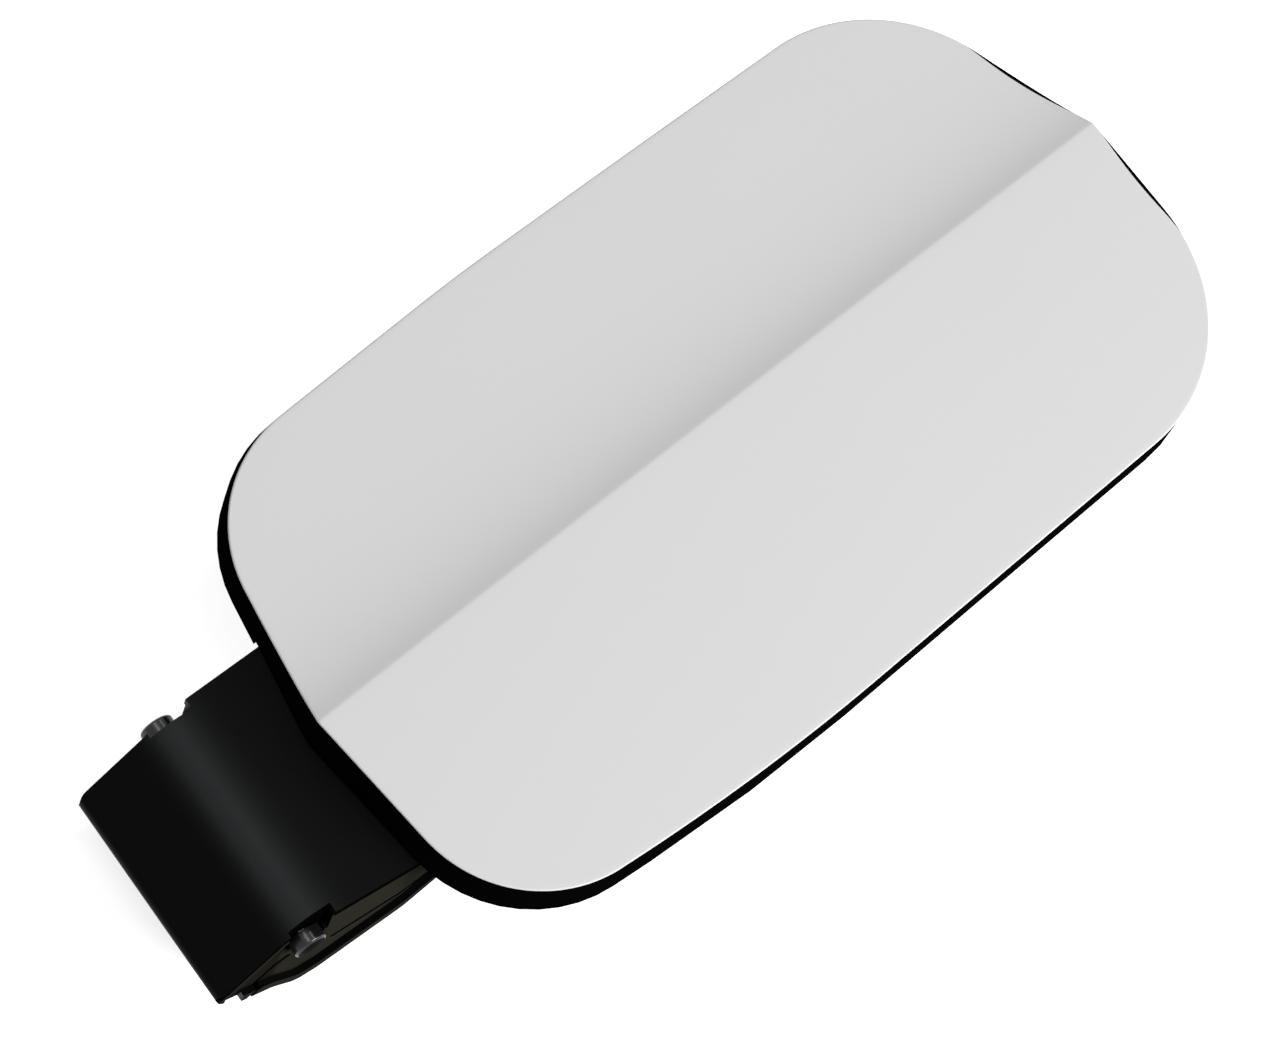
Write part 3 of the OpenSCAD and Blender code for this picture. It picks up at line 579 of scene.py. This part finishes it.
# Copy of a solid, merged and made smooth up to an angle, with its edges softened; rolled gives
# a test of an edge's two face normals and its middle, and the radius of the edges that pass it
def dressed(node, material, body, soften=0.25, smooth=32.0, rolled=None):
    work = bmesh.new()
    work.from_mesh(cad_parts[node].data)
    bmesh.ops.remove_doubles(work, verts=work.verts, dist=solidMesh["seam"])
    bmesh.ops.dissolve_limit(work, angle_limit=math.radians(solidMesh["flat"]),
                             verts=work.verts, edges=work.edges)
    if rolled:
        weight = work.edges.layers.float.new("bevel_weight_edge")
        for edge in work.edges:
            if len(edge.link_faces) == 2:
                first, second = (face.normal for face in edge.link_faces)
                middle = (edge.verts[0].co + edge.verts[1].co) / 2
                edge[weight] = float(rolled[0](first, second, middle))
    mesh = bpy.data.meshes.new(node + "_piece")
    work.to_mesh(mesh)
    work.free()
    piece = addSmooth(node + "_piece", mesh, material, smooth)
    if rolled:
        addBevel(piece, "rolled_edges", "WEIGHT", rolled[1], solidMesh["rollSegments"])
    if soften:
        bevel = addBevel(piece, "soft_edges", "ANGLE", soften, solidMesh["softSegments"])
        bevel.angle_limit = math.radians(smooth)
    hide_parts(node)
    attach(piece, body)


shoulderEdge = {"up": 0.75, "across": 0.9, "level": 0.3, "outside": 27.5, "radius": 1.6}


# Long edges where the arm's top sheet meets its outer sides: one face looks up, one sideways
def sheetShoulder(first, second, middle):
    up, across = max(first.z, second.z), max(abs(first.y), abs(second.y))
    low = min(abs(first.z), abs(second.z))
    return (up > shoulderEdge["up"] and across > shoulderEdge["across"]
            and low < shoulderEdge["level"] and abs(middle.y) > shoulderEdge["outside"] * mm)


dressed("inner_carrier", carrierPlastic, "door")
dressed("hinge_arm", armPlastic, "door", rolled=(sheetShoulder, shoulderEdge["radius"]))
dressed("latch_striker", fittingPlastic, "door")
dressed("cap_holder", fittingPlastic, "door")
dressed("bond_bead", paste, "door", soften=0)
for name in ("arm_screws", "striker_screws", "cap_holder_screws"):
    dressed(name, screwSteel, "door", soften=0.15)
for number in (1, 2, 3, 4):
    dressed(f"bump_stop_{number}", rubber, "door", soften=0.4)
for side in ("left", "right"):
    dressed(f"arm_bush_{side}", bushPlastic, "door", soften=0.15)
    dressed(f"pivot_bush_{side}", bushPlastic, "hinge_pin", soften=0.2)
dressed("spring_sleeve", bushPlastic, "hinge_pin", soften=0.15)
dressed("hinge_rod", rodSteel, "hinge_pin", soften=0.1)
dressed("torsion_spring", springSteel, "hinge_pin", soften=0, smooth=50.0)
print("mechanism dressed")


# Camera at the photograph's place: aimed along its own axis at the middle of the crease
camera = {"target": (139.65, 15.42, 29.0), "up": (0.4700, 0.7814, 0.4105),
          "back": (-0.3995, -0.2264, 0.8883), "distance": 1320.0, "lens": 163.09,
          "sensor": 36.0, "shift": (-0.05756, -0.07528), "clip": (0.05, 50.0)}


def makeCamera():
    data = bpy.data.cameras.new("photo_camera")
    data.sensor_width = camera["sensor"]
    data.lens = camera["lens"]
    data.shift_x, data.shift_y = camera["shift"]
    data.clip_start, data.clip_end = camera["clip"]
    viewer = addObject("photo_camera", data)
    back = Vector(camera["back"]).normalized()
    right = Vector(camera["up"]).cross(back).normalized()
    up = back.cross(right)
    place = Vector(camera["target"]) * mm + back * camera["distance"] * mm
    turn = Matrix((right, up, back)).transposed().to_4x4()
    viewer.matrix_world = Matrix.Translation(place) @ turn
    bpy.context.scene.camera = viewer


seenBy = ("Camera", "Glossy", "Transmission")
floor = {"height": -0.030, "half": 6.0, "colour": rgb(0.88), "lift": 0.72}


# Pale floor that shows as white where it is lit and keeps the soft shadow
def makeFloor():
    s, z = floor["half"], floor["height"]
    corners = [(-s, -s, z), (s, -s, z), (s, s, z), (-s, s, z)]
    m = Shader("pale_floor")
    path = sum(m.node("ShaderNodeLightPath", output=f"Is {kind} Ray") for kind in seenBy)
    diffuse = m.node("ShaderNodeBsdfDiffuse", None, {"Color": floor["colour"]})
    glow = m.node("ShaderNodeEmission", None,
                  {"Color": rgb(1.0), "Strength": floor["lift"] * path})
    m.done(m.node("ShaderNodeAddShader", None, {0: diffuse, 1: glow}))
    mesh = bpy.data.meshes.new("floor")
    mesh.from_pydata(corners, [], [(0, 1, 2, 3)])
    mesh.materials.append(m.material)
    plane = addObject("floor", mesh)


# Soft boxes: name, place, aim, width, height, power in watts
softBoxes = [
    ("key_box", (1.2, -2.3, 1.35), (0.14, 0.0, 0.02), 1.3, 1.0, 106.0),
    ("sheen_box", (-0.3, 0.34, 1.44), (0.0, 0.0, 0.0), 0.2, 1.0, 4.4),
    ("glint_box", (0.63, 0.31, 1.3), (0.0, -0.03, 0.0), 0.12, 0.12, 0.8),
]
dome = {"level": 0.22}


def makeLights():
    for name, place, aim, width, height, power in softBoxes:
        data = bpy.data.lights.new(name, "AREA")
        data.shape = "RECTANGLE"
        data.size, data.size_y = width, height
        data.energy = power
        lamp = addObject(name, data)
        lamp.location = place
        lamp.rotation_euler = (Vector(aim) - Vector(place)).to_track_quat("-Z", "Y").to_euler()
    world = bpy.data.worlds.new("studio")
    bpy.context.scene.world = world
    world.use_nodes = True
    tree = world.node_tree
    path = tree.nodes.new("ShaderNodeLightPath")
    seen = sum(Wire(tree, path.outputs[f"Is {kind} Ray"]) for kind in seenBy)
    level = seen.clamped() * (1.0 - dome["level"]) + dome["level"]
    background = tree.nodes["Background"]
    background.inputs["Color"].default_value = rgb(1.0)
    plug(tree, background.inputs["Strength"], level)


makeCamera()
makeFloor()
makeLights()
bpy.context.scene.view_settings.view_transform = "Standard"
print("stage made")
